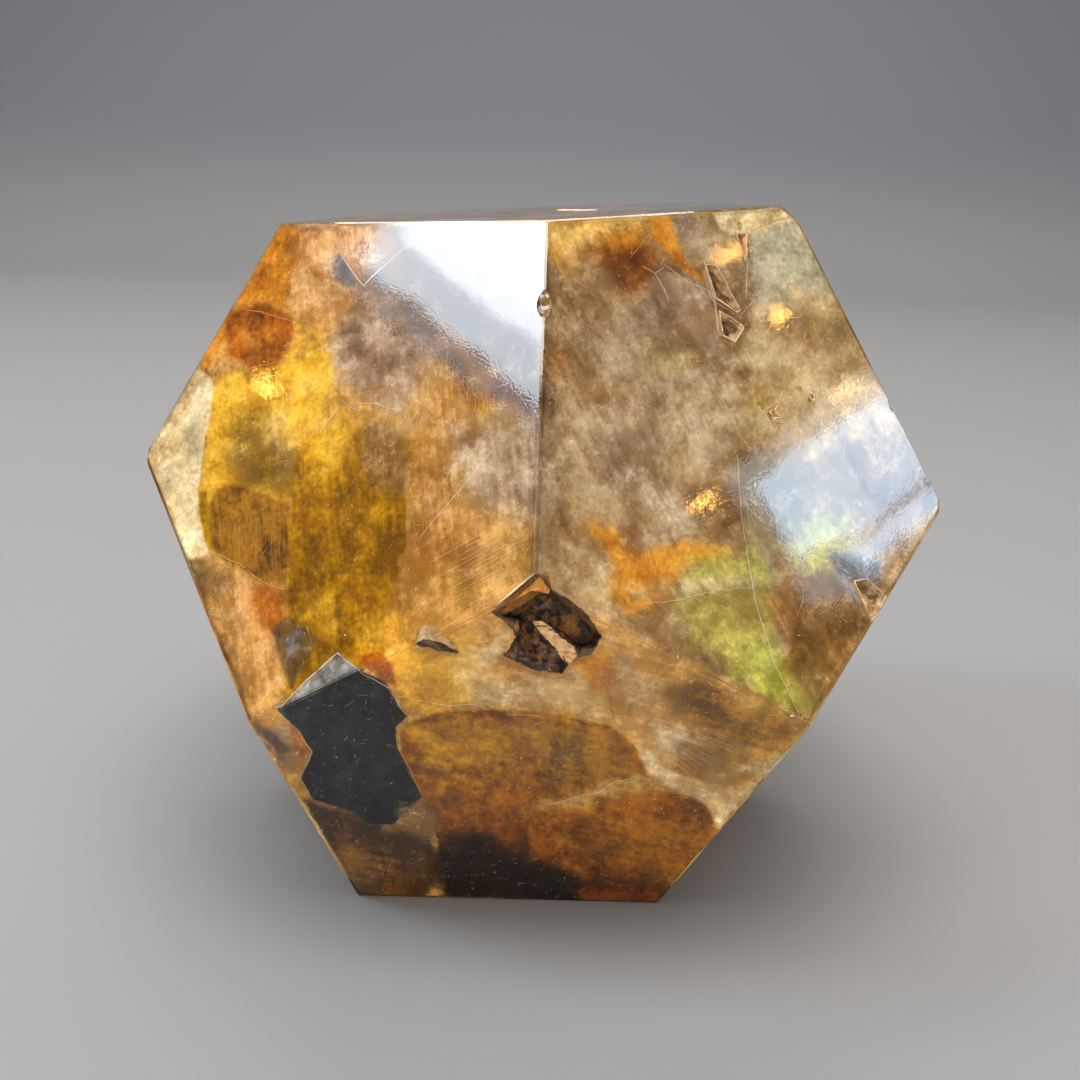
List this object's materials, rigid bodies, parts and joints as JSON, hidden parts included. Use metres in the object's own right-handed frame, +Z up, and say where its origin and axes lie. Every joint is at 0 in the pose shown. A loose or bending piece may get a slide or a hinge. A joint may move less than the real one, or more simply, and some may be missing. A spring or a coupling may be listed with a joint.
{
  "type": "quartz dodecahedron",
  "caption": "Hand-ground dodecahedron of clear quartz with golden brown iron stain, veils and crystal-shaped hollows, resting on one flat facet.",
  "frame": {"origin": "on the resting facet, straight below the middle of the stone", "axes": "+Z up, out of the stone away from the resting facet; -Y towards the viewer, through the foremost corner; +X to the viewer's right"},
  "size_m": [0.0734, 0.0765, 0.064],
  "materials": {
    "iron_stained_quartz": "polished, clear to cloudy, with honey, ochre and smoky brown zones"
  },
  "bodies": {
    "root": {"quartz_dodecahedron": "iron_stained_quartz"}
  },
  "joints": []
}
